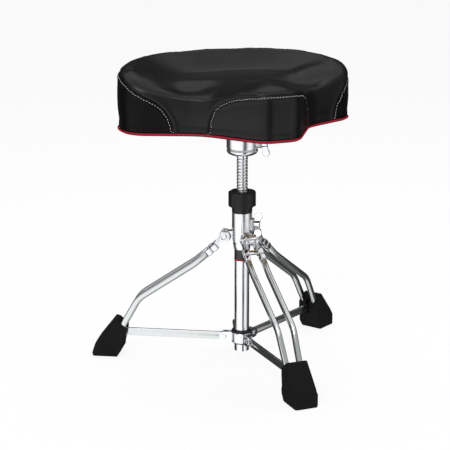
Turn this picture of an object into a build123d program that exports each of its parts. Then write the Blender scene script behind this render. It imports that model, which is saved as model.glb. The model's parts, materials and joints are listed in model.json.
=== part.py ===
from build123d import *
import os
from math import atan2, cos, degrees, hypot, radians, sin, tan

# A double-braced drum throne: saddle seat on a threaded rod, height nut, base tube,
# three folding legs with rubber feet, and a sliding collar with three struts.
# Millimetres, +Z up, -Y to the front. Everything is drawn about the column's axis
# and then moved along Y by COLUMN_Y, so that the origin is on the floor in the
# middle of the object's plan.

# ---- driving dimensions -------------------------------------------------------
# column
TUBE_R = 14.3                # 28.6 mm base tube
TUBE_WALL = 1.6
TUBE_BOTTOM = 19.0
TUBE_TOP = 295.0
ROD_R = 10.8                 # major radius of the threaded rod
THREAD_PITCH = 6.35
THREAD_DEPTH = 1.9
ROD_BOTTOM = 112.0
THREAD_START = 122.0
THREAD_TOP = 404.0
SPINDLE_R = 8.0
ROD_SHOULDER = 418.5
SPINDLE_TOP = 452.0
RUN_FIT = 0.08               # radial clearance of a shaft in its bush
SEAT_FIT = 0.05              # radial clearance of pressed or clamped pieces
FREE_GAP = 0.4               # gap between faces that move past each other

# upper casting
CASTING_R = 19.35
CASTING_BOTTOM = 224.0
CASTING_TOP = 297.0
CASTING_TAPER = 15.0
CASTING_NECK_R = 15.4
BAND_BOTTOM = 202.0
BAND_TRIM = 3.0
BAND_THICK = 0.4

# height nut
NUT_BOTTOM = CASTING_TOP + FREE_GAP
NUT_NECK_R = 19.7
NUT_NECK_H = 11.0
NUT_R = 26.4
NUT_H = 41.0
NUT_LOBES = 4
NUT_INSERT_R = 16.0

# seat
SEAT_BOTTOM = 463.0
PIPING_H = 4.0
PIPING_IN = 5.0
BOARD_INSET = 7.0
BOARD_THICK = 12.0
BOARD_TOP_ROOM = 2.0
NOSE_Y = -180.0
WING_X = 233.0
REAR_Y = 192.0
SEAT_CORNERS = [             # right half of the plan: x, y and the corner's radius
    (36.0, NOSE_Y, 40.0), (110.0, -66.0, 90.0), (WING_X, -8.0, 54.0),
    (WING_X, 66.0, 110.0), (140.0, REAR_Y, 190.0),
]
SEAT_NOSE_Z = 552.0
SEAT_THIGH_Z = 536.0
SEAT_MID_Z = 566.0
SEAT_REAR_Z = 588.0
FLANGE = 118.0
FLANGE_THICK = 4.0
FLANGE_BOLT_SPAN = 88.0
FLANGE_BOLT_R = 3.0
HUB_R = 30.0
HUB_BOTTOM = 421.0
HUB_CAP_BOTTOM = 409.0
HUB_CAP_TAPER_R = 22.0
HUB_BUSH_WALL = 3.0
WASHER_R = 16.0

# legs: profile points (distance from the column's axis, height)
LEG_AZIMUTHS = {"front": 270.0, "left": 150.0, "right": 30.0}
HINGE_R = 34.0
HINGE_Z = 248.0
LEG_TOP = (35.0, 241.6)      # on the braces' upper centre line
LEG_KNEE = (91.7, 193.9)
LEG_BEND = (200.8, 120.9)
LEG_END = (247.0, 39.0)      # buried in the foot
KNEE_RADIUS = 110.0
BEND_RADIUS = 55.0
BRACE_W = 10.0
BRACE_H = 13.0
BRACE_T = 15.6               # half the distance between the two braces
BRACE_T_FOOT = 12.6
YOKE_END = 27.0              # lengths from the hinge along the leg
FERRULE_START = 28.5
FERRULE_END = 40.0
BRACE_START = 41.8
YOKE_CHEEK_IN = 8.6
YOKE_CHEEK_OUT = 13.0
YOKE_R = 12.0
LUG_HALF = 8.0
HINGE_BOLT_R = 4.0

# feet
FOOT_IN = 229.0
FOOT_REACH = 296.0
FOOT_H = 75.0
FOOT_HALF_BASE = 24.0
FOOT_HALF_TOP = 19.5
FOOT_EDGE_R = 1.0
FOOT_SOLE_BAND = 3.0         # edges below this height stay sharp
STRUT_SLOT_HALF = 3.6

# collar and struts
COLLAR_R = 20.5
COLLAR_BOTTOM = 36.0
COLLAR_TOP = 56.0
COLLAR_BUSH_WALL = 2.6
PIVOT_R = 34.0
PIVOT_Z = 46.0
STRUT_TIP_R = 232.0
STRUT_TIP_Z = 47.0
STRUT_H = 15.0
STRUT_THICK = 5.0
EAR_THICK = 3.6
EAR_GAP = 5.8
PIVOT_PIN_R = 3.0

# wing bolts
WING_SHANK_R = 4.0
WING_BOSS_R = 7.0
WING_BOSS_L = 11.0
WING_REACH = 17.0
SEAT_WING_REACH = 19.0
WING_LOBE_R = 7.5
WING_THICK = 4.6
SEAT_BOLT_AZ = 330.0
SEAT_BOLT_Z = 431.0
SEAT_BOLT_R = 37.0
CASTING_BOLT_AZ = 330.0
CASTING_BOLT_Z = 272.0
CASTING_BOLT_R = 23.0
COLLAR_BOLT_AZ = 90.0
COLLAR_BOLT_Z = 46.0
COLLAR_BOLT_R = 27.0
BOSS_R = 8.0

COLUMN_Y = (FOOT_REACH - REAR_Y) / 2
TUBE_BORE = TUBE_R - TUBE_WALL


# ---- small helpers -------------------------------------------------------------
def disc(radius, bottom, top):
    """A cylinder about the column's axis between two heights."""
    return Pos(0, 0, (bottom + top) / 2) * Cylinder(radius, top - bottom)


def ring(outer, inner, bottom, top):
    return disc(outer, bottom, top) - disc(inner, bottom - 1, top + 1)


def plate(points, half, offset=0.0):
    """A (radius, height) outline made into a plate across the leg's plane."""
    face = make_face(Polyline(*[(x, 0, z) for x, z in points], close=True))
    return Pos(0, offset, 0) * extrude(face, half, dir=(0, 1, 0), both=True)


def cross_pin(radius, x, z, half, offset=0.0):
    """A pin across the leg's plane at (x, z)."""
    return Pos(x, offset, z) * Rot(90, 0, 0) * Cylinder(radius, 2 * half)


def radial(radius, start, end, azimuth, z):
    """A cylinder that points away from the column's axis."""
    bar = Pos((start + end) / 2, 0, z) * Rot(0, 90, 0) * Cylinder(radius, end - start)
    return Rot(0, 0, azimuth) * bar


def bent_wire(points, radii):
    """Straight runs joined by tangent arcs, one radius for each inner corner."""
    corners = [Vector(*p) for p in points]
    pieces = []
    start = corners[0]
    for corner, after, radius in zip(corners[1:], corners[2:], radii):
        way_in = (corner - start).normalized()
        way_out = (after - corner).normalized()
        half_turn = radians(way_in.get_angle(way_out)) / 2
        run = radius * tan(half_turn)
        first, last = corner - way_in * run, corner + way_out * run
        inward = (way_out - way_in).normalized()
        middle = corner + inward * (radius / cos(half_turn) - radius)
        pieces += [Line(start, first), ThreePointArc(first, middle, last)]
        start = last
    pieces.append(Line(start, corners[-1]))
    return Wire([piece.edge() for piece in pieces])


def along_leg(length, up=0.0):
    """The (radius, height) point at a length from the hinge along the upper leg."""
    slope = atan2(LEG_TOP[1] - LEG_KNEE[1], LEG_KNEE[0] - LEG_TOP[0])
    x = LEG_TOP[0] + length * cos(slope) + up * sin(slope)
    z = LEG_TOP[1] - length * sin(slope) + up * cos(slope)
    return x, z


# ---- seat ----------------------------------------------------------------------
def seat_outline(inset=0.0):
    """Saddle plan: round rear, two thigh wings and a nose."""
    right = [(x, y) for x, y, _ in SEAT_CORNERS]
    left = [(-x, y) for x, y in reversed(right)]
    plan = make_face(Polyline(*right, *left, close=True))
    for x, y, radius in SEAT_CORNERS:
        pair = plan.vertices().filter_by(lambda v: hypot(abs(v.X) - x, v.Y - y) < 0.01)
        plan = fillet(pair, radius)
    return offset(plan, -inset) if inset else plan


def seat_slab(inset, bottom, top):
    return extrude(Pos(0, 0, bottom) * seat_outline(inset), top - bottom)


def seat_board():
    board = seat_slab(BOARD_INSET, SEAT_BOTTOM, SEAT_BOTTOM + BOARD_THICK)
    for x, y in flange_bolts():
        board -= Pos(x, y, SEAT_BOTTOM) * Cylinder(FLANGE_BOLT_R + 1.5, 4 * BOARD_THICK)
    return board


def seat_cushion():
    """Plain closed solid of the padded seat, with the board's pocket below."""
    base = SEAT_BOTTOM + PIPING_H
    block = seat_slab(0, base, SEAT_REAR_Z)
    front, rear = NOSE_Y - 20, REAR_Y + 20
    side = Polyline(
        (0, front, base - 10), (0, front, SEAT_NOSE_Z), (0, NOSE_Y + 50, SEAT_NOSE_Z),
        (0, -60, SEAT_THIGH_Z), (0, 60, SEAT_MID_Z), (0, REAR_Y - 60, SEAT_REAR_Z),
        (0, rear, SEAT_REAR_Z), (0, rear, base - 10), close=True,
    )
    block &= extrude(make_face(side), 2 * WING_X, dir=(1, 0, 0), both=True)
    pocket_top = SEAT_BOTTOM + BOARD_THICK + BOARD_TOP_ROOM
    return block - seat_slab(BOARD_INSET - FREE_GAP, SEAT_BOTTOM, pocket_top)


def seat_piping():
    outer = seat_slab(0, SEAT_BOTTOM, SEAT_BOTTOM + PIPING_H)
    return outer - seat_slab(PIPING_IN, SEAT_BOTTOM - 1, SEAT_BOTTOM + PIPING_H + 1)


def flange_bolts():
    half = FLANGE_BOLT_SPAN / 2
    return [(x, y) for x in (-half, half) for y in (-half, half)]


def seat_flange():
    bottom = SEAT_BOTTOM - FLANGE_THICK
    flange = extrude(Pos(0, 0, bottom) * RectangleRounded(FLANGE, FLANGE, 12), FLANGE_THICK)
    flange -= disc(SPINDLE_R + HUB_BUSH_WALL, bottom - 1, SEAT_BOTTOM + 1)
    for x, y in flange_bolts():
        flange -= Pos(x, y, bottom) * Cylinder(FLANGE_BOLT_R + SEAT_FIT, 4 * FLANGE_THICK)
    return flange


def flange_screws():
    """Four button-head screws up through the flange into the tee nuts."""
    head_top = SEAT_BOTTOM - FLANGE_THICK
    screws = []
    for x, y in flange_bolts():
        head = Pos(x, y, head_top - 1.5) * Cylinder(6, 3)
        head = fillet(head.edges().group_by(Axis.Z)[0], 1.2)
        head -= Pos(x, y, head_top - 3) * extrude(RegularPolygon(2.2, 6), 1.8)
        top = SEAT_BOTTOM + BOARD_THICK
        shank = Pos(x, y, (head_top + top) / 2) * Cylinder(FLANGE_BOLT_R, top - head_top)
        screws.append(head + shank)
    return screws


def tee_nuts():
    top = SEAT_BOTTOM + BOARD_THICK
    nuts = []
    for x, y in flange_bolts():
        barrel = Pos(x, y, top - 4) * Cylinder(FLANGE_BOLT_R + 1.4, 8)
        nut = barrel + Pos(x, y, top + 0.6) * Cylinder(9, 1.2)
        nuts.append(nut - Pos(x, y, top) * Cylinder(FLANGE_BOLT_R + SEAT_FIT, 30))
    return nuts


def seat_hub():
    """Cast socket under the flange, with the clamp bolt's boss."""
    top = SEAT_BOTTOM - FLANGE_THICK
    hub = disc(HUB_R, HUB_BOTTOM, top)
    hub = fillet(hub.edges().group_by(Axis.Z)[0], 2.0)
    hub += radial(BOSS_R + 1, HUB_R - 6, SEAT_BOLT_R, SEAT_BOLT_AZ, SEAT_BOLT_Z)
    hub -= disc(SPINDLE_R + HUB_BUSH_WALL, HUB_BOTTOM - 1, top + 1)
    bolt_hole = radial(WING_SHANK_R + RUN_FIT, 5, SEAT_BOLT_R + 1, SEAT_BOLT_AZ, SEAT_BOLT_Z)
    return hub - bolt_hole


def hub_cap():
    """Lower half of the hub: a neck, a rim and a bowl that turns in to the rod."""
    neck = HUB_BOTTOM - 3.0
    profile = [
        (ROD_R + 0.6, HUB_CAP_BOTTOM), (HUB_CAP_TAPER_R, HUB_CAP_BOTTOM),
        (HUB_R - 2.5, HUB_CAP_BOTTOM + 3), (HUB_R, HUB_CAP_BOTTOM + 7), (HUB_R, neck),
        (HUB_R - 1.6, neck), (HUB_R - 1.6, HUB_BOTTOM), (ROD_R + 0.6, HUB_BOTTOM),
    ]
    face = make_face(Polyline(*[(x, 0, z) for x, z in profile], close=True))
    cap = revolve(face, Axis.Z)
    cap -= disc(WASHER_R + FREE_GAP, ROD_SHOULDER - FREE_GAP, HUB_BOTTOM + 1)
    slot = Pos(HUB_R - 3, 0, HUB_CAP_BOTTOM + 3.2) * Box(8, 8, 2.4)
    return cap - Rot(0, 0, SEAT_BOLT_AZ - 83) * slot


def hub_bush():
    outer = SPINDLE_R + HUB_BUSH_WALL
    bush = ring(outer, SPINDLE_R + RUN_FIT, HUB_BOTTOM, SEAT_BOTTOM - FLANGE_THICK - 2)
    return bush - radial(WING_SHANK_R + 0.5, 2, outer + 2, SEAT_BOLT_AZ, SEAT_BOLT_Z)


def thrust_washer():
    return ring(WASHER_R, SPINDLE_R + RUN_FIT, ROD_SHOULDER, HUB_BOTTOM)


# ---- column ----------------------------------------------------------------------
def threaded_rod():
    """Rod with its thread drawn as rings, and a plain spindle for the seat."""
    root = ROD_R - THREAD_DEPTH
    points = [(0, ROD_BOTTOM), (root, ROD_BOTTOM), (root, THREAD_START)]
    turns = int((THREAD_TOP - THREAD_START) / THREAD_PITCH)
    flat, flank = 0.28 * THREAD_PITCH, 0.22 * THREAD_PITCH
    for turn in range(turns):
        z = THREAD_START + turn * THREAD_PITCH
        points += [(root, z + flat), (ROD_R, z + flat + flank)]
        points += [(ROD_R, z + 2 * flat + flank), (root, z + THREAD_PITCH)]
    points += [(root, THREAD_TOP), (ROD_R - 0.3, THREAD_TOP + 1), (ROD_R - 0.3, ROD_SHOULDER)]
    points += [(SPINDLE_R, ROD_SHOULDER), (SPINDLE_R, SPINDLE_TOP - 1), (SPINDLE_R - 1, SPINDLE_TOP)]
    points.append((0, SPINDLE_TOP))
    return revolve(make_face(Polyline(*[(x, 0, z) for x, z in points], close=True)), Axis.Z)


def rod_guide():
    """Nylon shoe on the rod's lower end that runs in the tube."""
    guide = disc(TUBE_BORE - FREE_GAP / 2, ROD_BOTTOM - 10, ROD_BOTTOM)
    return guide - disc(2.5, ROD_BOTTOM - 11, ROD_BOTTOM + 1)


def rod_guide_screw():
    shank = disc(2.45, ROD_BOTTOM - 10, ROD_BOTTOM)
    return shank + disc(5, ROD_BOTTOM - 13, ROD_BOTTOM - 10)


def lobed_plan(radius, lobes):
    """A round plan with shallow finger scallops between its lobes."""
    plan = Circle(radius)
    for index in range(lobes):
        angle = 360 * (index + 0.5) / lobes
        plan -= Rot(0, 0, angle) * Pos(radius + 9.5, 0) * Circle(12.0)
    return plan


def height_nut():
    neck_top = NUT_BOTTOM + NUT_NECK_H
    top = NUT_BOTTOM + NUT_H
    neck = disc(NUT_NECK_R, NUT_BOTTOM, neck_top)
    neck = fillet(neck.edges().group_by(Axis.Z)[0], 1.5)
    body = extrude(Pos(0, 0, neck_top) * lobed_plan(NUT_R, NUT_LOBES), top - neck_top)
    body = fillet(body.edges().filter_by(Axis.Z), 2.5)
    body = fillet(body.edges().group_by(Axis.Z)[-1], 4.0)
    body = fillet(body.edges().group_by(Axis.Z)[0], 1.5)
    nut = body + neck
    nut -= disc(NUT_INSERT_R + SEAT_FIT, NUT_BOTTOM - 1, top - 6)
    return nut - disc(ROD_R + 1.6, NUT_BOTTOM, top + 1)


def nut_insert():
    """Steel thread insert; its crests just clear the rod's."""
    return ring(NUT_INSERT_R, ROD_R + RUN_FIT, NUT_BOTTOM, NUT_BOTTOM + NUT_H - 6)


def base_tube():
    tube = ring(TUBE_R, TUBE_BORE, TUBE_BOTTOM, TUBE_TOP)
    slot = radial(WING_SHANK_R + 0.6, TUBE_BORE - 4, TUBE_R + 4, CASTING_BOLT_AZ, CASTING_BOLT_Z)
    return tube - slot


def tube_plug():
    """Plastic end plug, set just inside the tube's lower end."""
    plug = disc(TUBE_BORE - SEAT_FIT, TUBE_BOTTOM + 1.5, TUBE_BOTTOM + 13)
    return plug - disc(TUBE_BORE - 3, TUBE_BOTTOM + 5, TUBE_BOTTOM + 14)


def tube_band():
    bottom = BAND_BOTTOM + BAND_TRIM
    return ring(TUBE_R + BAND_THICK, TUBE_R, bottom, CASTING_BOTTOM - 0.2)


def band_trim():
    return ring(TUBE_R + BAND_THICK + 0.3, TUBE_R, BAND_BOTTOM, BAND_BOTTOM + BAND_TRIM)


def leg_lug():
    """One hinge lug of the casting, in the leg's frame."""
    tip = cross_pin(9.0, HINGE_R, HINGE_Z, LUG_HALF)
    root = plate(
        [(CASTING_R - 5, HINGE_Z - 12), (HINGE_R - 2, HINGE_Z - 9), (HINGE_R + 2, HINGE_Z + 9),
         (CASTING_R - 5, HINGE_Z + 13)], LUG_HALF,
    )
    return tip + root - cross_pin(HINGE_BOLT_R + RUN_FIT, HINGE_R, HINGE_Z, LUG_HALF + 1)


def upper_casting():
    shoulder = CASTING_BOTTOM + CASTING_TAPER
    profile = [
        (0, CASTING_BOTTOM), (CASTING_NECK_R, CASTING_BOTTOM), (CASTING_R - 1.5, shoulder - 3),
        (CASTING_R, shoulder + 1), (CASTING_R, CASTING_TOP - 1), (CASTING_R - 1, CASTING_TOP),
        (0, CASTING_TOP),
    ]
    face = make_face(Polyline(*[(x, 0, z) for x, z in profile], close=True))
    casting = revolve(face, Axis.Z)
    for azimuth in LEG_AZIMUTHS.values():
        casting += Rot(0, 0, azimuth) * leg_lug()
    boss = Pos((CASTING_BOLT_R + CASTING_R) / 2 - 3, 0, CASTING_BOLT_Z)
    boss *= Box(CASTING_BOLT_R - CASTING_R + 6, 15, 25)
    boss = fillet(boss.edges().filter_by(Axis.X), 4.0)
    casting += Rot(0, 0, CASTING_BOLT_AZ) * boss
    casting -= disc(TUBE_R + SEAT_FIT, CASTING_BOTTOM - 1, TUBE_TOP)
    casting -= disc(ROD_R + 1.0, TUBE_TOP - 1, CASTING_TOP + 1)
    hole = radial(WING_SHANK_R + RUN_FIT, 10, CASTING_BOLT_R + 1, CASTING_BOLT_AZ, CASTING_BOLT_Z)
    slit = Pos(CASTING_R, 0, CASTING_BOLT_Z - 5) * Box(5, 2.2, 16)
    return casting - hole - Rot(0, 0, CASTING_BOLT_AZ - 84) * slit


def casting_bush():
    """Nylon bush in the tube's top that steadies the rod."""
    bush = ring(TUBE_BORE - SEAT_FIT, ROD_R + RUN_FIT, TUBE_TOP - 32, TUBE_TOP - 0.2)
    return bush - radial(WING_SHANK_R + 0.6, 6, TUBE_R + 2, CASTING_BOLT_AZ, CASTING_BOLT_Z)


def hinge_bolts():
    bolts = []
    for azimuth in LEG_AZIMUTHS.values():
        reach = YOKE_CHEEK_OUT + 0.5
        shank = cross_pin(HINGE_BOLT_R, HINGE_R, HINGE_Z, reach + 2.5)
        head = cross_pin(6.6, HINGE_R, HINGE_Z, 1.8, -(reach + 1.8))
        head = fillet(head.edges().group_by(Axis.Y)[0], 1.2)
        bolts.append(Rot(0, 0, azimuth) * (shank + head))
    return bolts


def hinge_nuts():
    nuts = []
    for azimuth in LEG_AZIMUTHS.values():
        start = YOKE_CHEEK_OUT + 0.5
        blank = extrude(RegularPolygon(6.4, 6, major_radius=False), 4.6)
        nut = Pos(HINGE_R, start, HINGE_Z) * Rot(-90, 0, 0) * blank
        nut -= cross_pin(HINGE_BOLT_R + SEAT_FIT, HINGE_R, HINGE_Z, 8, start)
        nuts.append(Rot(0, 0, azimuth) * nut)
    return nuts


# ---- legs -----------------------------------------------------------------------
def leg_yoke():
    """Forked casting at the leg's top: two cheeks, a bridge and two tongues."""
    half_h = BRACE_H / 2
    cheek_mid = (YOKE_CHEEK_IN + YOKE_CHEEK_OUT) / 2
    cheek_half = (YOKE_CHEEK_OUT - YOKE_CHEEK_IN) / 2
    yoke = None
    for side in (-1, 1):
        cheek = cross_pin(YOKE_R, HINGE_R, HINGE_Z, cheek_half, side * cheek_mid)
        arm = plate(
            [along_leg(-2, half_h + 5), along_leg(16, half_h + 1), along_leg(16, -half_h),
             along_leg(0, -half_h)], cheek_half, side * cheek_mid,
        )
        block_out = BRACE_T + BRACE_W / 2
        block_half = (block_out - YOKE_CHEEK_IN) / 2
        block = plate(
            [along_leg(15, half_h), along_leg(YOKE_END, half_h), along_leg(YOKE_END, -half_h),
             along_leg(15, -half_h)], block_half, side * (YOKE_CHEEK_IN + block_half),
        )
        tongue = plate(
            [along_leg(20, 4.2), along_leg(60, 4.2), along_leg(60, -4.2), along_leg(20, -4.2)],
            2.9, side * BRACE_T,
        )
        half = cheek + arm + fillet(block.edges(), 2.0) + tongue
        yoke = half if yoke is None else yoke + half
    bridge = plate(
        [along_leg(19, half_h - 1), along_leg(YOKE_END, half_h - 1),
         along_leg(YOKE_END, half_h - 5), along_leg(19, half_h - 5)], YOKE_CHEEK_IN + 1,
    )
    yoke += bridge
    return yoke - cross_pin(HINGE_BOLT_R + RUN_FIT, HINGE_R, HINGE_Z, YOKE_CHEEK_OUT + 5)


def leg_ferrules():
    """Short sleeves between the yoke and the braces."""
    half_h = BRACE_H / 2 + 0.3
    sleeves = []
    for side in (-1, 1):
        outer = plate(
            [along_leg(FERRULE_START, half_h), along_leg(FERRULE_END, half_h),
             along_leg(FERRULE_END, -half_h), along_leg(FERRULE_START, -half_h)],
            BRACE_W / 2 + 0.3, side * BRACE_T,
        )
        outer = fillet(outer.edges(), 2.2)
        sleeves.append(outer - tongue_hole(side))
    return sleeves


def tongue_hole(side):
    return plate(
        [along_leg(18, 4.25), along_leg(60.5, 4.25), along_leg(60.5, -4.25), along_leg(18, -4.25)],
        2.95, side * BRACE_T,
    )


def brace_path(side, start):
    """Centre line of one brace from a length along the leg to its foot end."""
    x, z = along_leg(start)
    return bent_wire(
        [(x, side * BRACE_T, z), (LEG_KNEE[0], side * BRACE_T, LEG_KNEE[1]),
         (LEG_BEND[0], side * BRACE_T, LEG_BEND[1]),
         (LEG_END[0], side * BRACE_T_FOOT, LEG_END[1])],
        [KNEE_RADIUS, BEND_RADIUS],
    )


def brace_bar(side, grow=0.0):
    """One oval brace, solid; grow makes the socket that it sits in."""
    path = brace_path(side, BRACE_START)
    start = path @ 0
    section = Plane(origin=start, x_dir=(0, 1, 0), z_dir=path % 0)
    oval = section * RectangleRounded(BRACE_W + grow, BRACE_H + grow, BRACE_W / 2 - 0.6)
    return sweep(oval, path=path)


def leg_braces():
    return [brace_bar(side) - tongue_hole(side) for side in (-1, 1)]


def strut_slot():
    """Space inside the foot that the strut's end needs as the leg folds."""
    return plate(
        [(205, 34.5), (262, 34.5), (270.5, 41), (270.5, 49), (262, 57), (229, 76), (205, 90)],
        STRUT_SLOT_HALF,
    )


def foot():
    """Rubber boot with a flat sole, brace sockets and the strut's slot."""
    heel = FOOT_REACH - 51
    side = plate(
        [(heel, 0), (FOOT_REACH - 2, 0), (FOOT_REACH, 5), (288, 27), (284, 34), (252, FOOT_H),
         (245, 73.5), (FOOT_IN - 1, 59), (FOOT_IN, 46), (235, 22), (236, 14)], FOOT_HALF_BASE + 2,
    )
    low, high = FOOT_HALF_BASE, FOOT_HALF_TOP
    front = Polyline(
        (200, -low + 1.5, 0), (200, low - 1.5, 0), (200, low, 4), (200, low, 22),
        (200, low - 1.5, 27), (200, high, FOOT_H + 2), (200, -high, FOOT_H + 2),
        (200, -low + 1.5, 27), (200, -low, 22), (200, -low, 4), close=True,
    )
    boot = side & extrude(make_face(front), 140, dir=(1, 0, 0))
    corner = FOOT_REACH + 6
    for turn in (-1, 1):
        cut = Pos(corner, turn * (FOOT_HALF_BASE + 4), FOOT_H / 2) * Rot(0, 0, 45)
        boot -= cut * Box(24, 24, 2 * FOOT_H)
    boot = fillet(boot.edges().filter_by(lambda e: e.center().Z > FOOT_SOLE_BAND), FOOT_EDGE_R)
    for brace in (-1, 1):
        boot -= brace_bar(brace, grow=0.1)
    return boot - strut_slot()


# ---- collar and struts ------------------------------------------------------------
def lower_collar():
    collar = disc(COLLAR_R, COLLAR_BOTTOM, COLLAR_TOP)
    collar = fillet(collar.edges(), 1.5)
    ear_mid = EAR_GAP / 2 + EAR_THICK / 2
    for azimuth in LEG_AZIMUTHS.values():
        for side in (-1, 1):
            tip = cross_pin(9.5, PIVOT_R, PIVOT_Z, EAR_THICK / 2, side * ear_mid)
            root = plate(
                [(COLLAR_R - 4, PIVOT_Z - 9.5), (PIVOT_R, PIVOT_Z - 9.5),
                 (PIVOT_R, PIVOT_Z + 9.5), (COLLAR_R - 4, PIVOT_Z + 9.5)],
                EAR_THICK / 2, side * ear_mid,
            )
            collar += Rot(0, 0, azimuth) * (tip + root)
        collar -= Rot(0, 0, azimuth) * cross_pin(PIVOT_PIN_R + SEAT_FIT, PIVOT_R, PIVOT_Z, 12)
    collar += radial(BOSS_R, COLLAR_R - 3, COLLAR_BOLT_R, COLLAR_BOLT_AZ, COLLAR_BOLT_Z)
    collar -= disc(TUBE_R + COLLAR_BUSH_WALL, COLLAR_BOTTOM - 1, COLLAR_TOP + 1)
    return collar - radial(
        WING_SHANK_R + RUN_FIT, 10, COLLAR_BOLT_R + 1, COLLAR_BOLT_AZ, COLLAR_BOLT_Z)


def collar_bush():
    """Plastic bush between the collar and the tube, with a lip above."""
    outer = TUBE_R + COLLAR_BUSH_WALL
    bush = disc(outer - SEAT_FIT, COLLAR_BOTTOM - 2.5, COLLAR_TOP)
    lip = disc(COLLAR_R - 1.6, COLLAR_TOP, COLLAR_TOP + 3.5)
    bush += fillet(lip.edges().group_by(Axis.Z)[-1], 1.5)
    bush -= disc(TUBE_R + 0.3, COLLAR_BOTTOM - 4, COLLAR_TOP + 5)
    return bush - radial(WING_SHANK_R + 0.6, 10, COLLAR_R, COLLAR_BOLT_AZ, COLLAR_BOLT_Z)


def collar_rivets():
    rivets = []
    for azimuth in LEG_AZIMUTHS.values():
        reach = EAR_GAP / 2 + EAR_THICK
        rivet = cross_pin(PIVOT_PIN_R, PIVOT_R, PIVOT_Z, reach)
        for side in (-1, 1):
            head = cross_pin(4.6, PIVOT_R, PIVOT_Z, 0.7, side * (reach + 0.7))
            rivet += head
        rivets.append(Rot(0, 0, azimuth) * rivet)
    return rivets


def strut():
    """Flat bar from the collar's ears into the foot, with round ends."""
    length = hypot(STRUT_TIP_R - PIVOT_R, STRUT_TIP_Z - PIVOT_Z)
    slope = degrees(atan2(STRUT_TIP_Z - PIVOT_Z, STRUT_TIP_R - PIVOT_R))
    outline = SlotCenterToCenter(length, STRUT_H)
    bar = extrude(Plane.XZ * Pos(length / 2, 0) * outline, STRUT_THICK / 2, both=True)
    bar = fillet(bar.edges().filter_by(lambda e: abs(e.center().Y) > 1), 0.8)
    bar = Pos(PIVOT_R, 0, PIVOT_Z) * Rot(0, -slope, 0) * bar
    return bar - cross_pin(PIVOT_PIN_R + RUN_FIT, PIVOT_R, PIVOT_Z, STRUT_THICK)


# ---- wing bolts ---------------------------------------------------------------------
def wing_bolt(shank, face, azimuth, z, turn, reach=WING_REACH):
    """A two-winged clamp bolt; face is where its boss meets the casting."""
    body = Pos(WING_BOSS_L / 2, 0, 0) * Rot(0, 90, 0) * Cylinder(WING_BOSS_R, WING_BOSS_L)
    body = fillet(body.edges().group_by(Axis.X)[-1], 2.0)
    middle = WING_BOSS_L * 0.62
    for side in (-1, 1):
        lobe = make_face(Polyline(
            (1.5, 0, 0), (middle - WING_LOBE_R * 0.75, 0, side * reach),
            (middle + WING_LOBE_R * 0.95, 0, side * reach), (WING_BOSS_L - 1, 0, 0),
            close=True))
        wing = extrude(lobe, WING_THICK / 2, dir=(0, 1, 0), both=True)
        wing += cross_pin(WING_LOBE_R * 0.95, middle + 1, side * reach, WING_THICK / 2)
        body += fillet(wing.edges().filter_by(lambda e: abs(e.center().Y) > 1), 1.4)
    body -= Pos(WING_BOSS_L, 0, 0) * Rot(0, 90, 0) * Cylinder(2.6, 9)
    body += Pos(-shank / 2, 0, 0) * Rot(0, 90, 0) * Cylinder(WING_SHANK_R, shank)
    return Rot(0, 0, azimuth) * Pos(face, 0, z) * Rot(turn, 0, 0) * body


def seat_wing_bolt():
    face = SEAT_BOLT_R + FREE_GAP
    shank = face - SPINDLE_R - FREE_GAP
    return wing_bolt(shank, face, SEAT_BOLT_AZ, SEAT_BOLT_Z, 8, SEAT_WING_REACH)


def casting_wing_bolt():
    face = CASTING_BOLT_R + FREE_GAP
    shank = face - ROD_R - FREE_GAP
    return wing_bolt(shank, face, CASTING_BOLT_AZ, CASTING_BOLT_Z, -25)


def collar_wing_bolt():
    face = COLLAR_BOLT_R + FREE_GAP
    shank = face - TUBE_R - FREE_GAP
    return wing_bolt(shank, face, COLLAR_BOLT_AZ, COLLAR_BOLT_Z, 0)


# ---- build --------------------------------------------------------------------------
def nodes():
    """Every node by name; a list is a node of several like solids."""
    made = {
        "seat_cushion": seat_cushion(), "seat_piping": seat_piping(), "seat_board": seat_board(),
        "seat_flange": seat_flange(), "flange_screws": flange_screws(), "tee_nuts": tee_nuts(),
        "seat_hub": seat_hub(), "hub_cap": hub_cap(), "hub_bush": hub_bush(),
        "seat_wing_bolt": seat_wing_bolt(), "thrust_washer": thrust_washer(),
        "threaded_rod": threaded_rod(), "rod_guide": rod_guide(),
        "rod_guide_screw": rod_guide_screw(), "height_nut": height_nut(),
        "nut_insert": nut_insert(), "base_tube": base_tube(), "tube_plug": tube_plug(),
        "tube_band": tube_band(), "band_trim": band_trim(), "upper_casting": upper_casting(),
        "casting_bush": casting_bush(), "hinge_bolts": hinge_bolts(),
        "hinge_nuts": hinge_nuts(), "casting_wing_bolt": casting_wing_bolt(),
        "lower_collar": lower_collar(), "collar_bush": collar_bush(),
        "collar_rivets": collar_rivets(), "collar_wing_bolt": collar_wing_bolt(),
    }
    leg_parts = {
        "leg_yoke": leg_yoke(), "leg_ferrules": leg_ferrules(), "leg_braces": leg_braces(),
        "foot": foot(), "strut": strut(),
    }
    for leg, azimuth in LEG_AZIMUTHS.items():
        for name, shape in leg_parts.items():
            solids = shape if isinstance(shape, list) else [shape]
            made[f"{leg}_{name}"] = [Rot(0, 0, azimuth) * solid for solid in solids]
    return made


def main():
    os.makedirs("parts", exist_ok=True)
    for name, shape in nodes().items():
        solids = shape if isinstance(shape, list) else [shape]
        placed = [Pos(0, COLUMN_Y, 0) * solid for solid in solids]
        export_step(placed[0] if len(placed) == 1 else Compound(children=placed), f"parts/{name}.step")


if __name__ == "__main__":
    main()
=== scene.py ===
"""Looks of a double-braced drum throne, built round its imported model.

The saddle cushion, its stitching, the piping and the rod's thread are modelled here. The metal,
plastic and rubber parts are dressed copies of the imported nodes. Lengths in the classes are in
millimetres and every mesh is in metres.
"""

import json
import logging
import math
from dataclasses import dataclass
from enum import Enum

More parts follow.
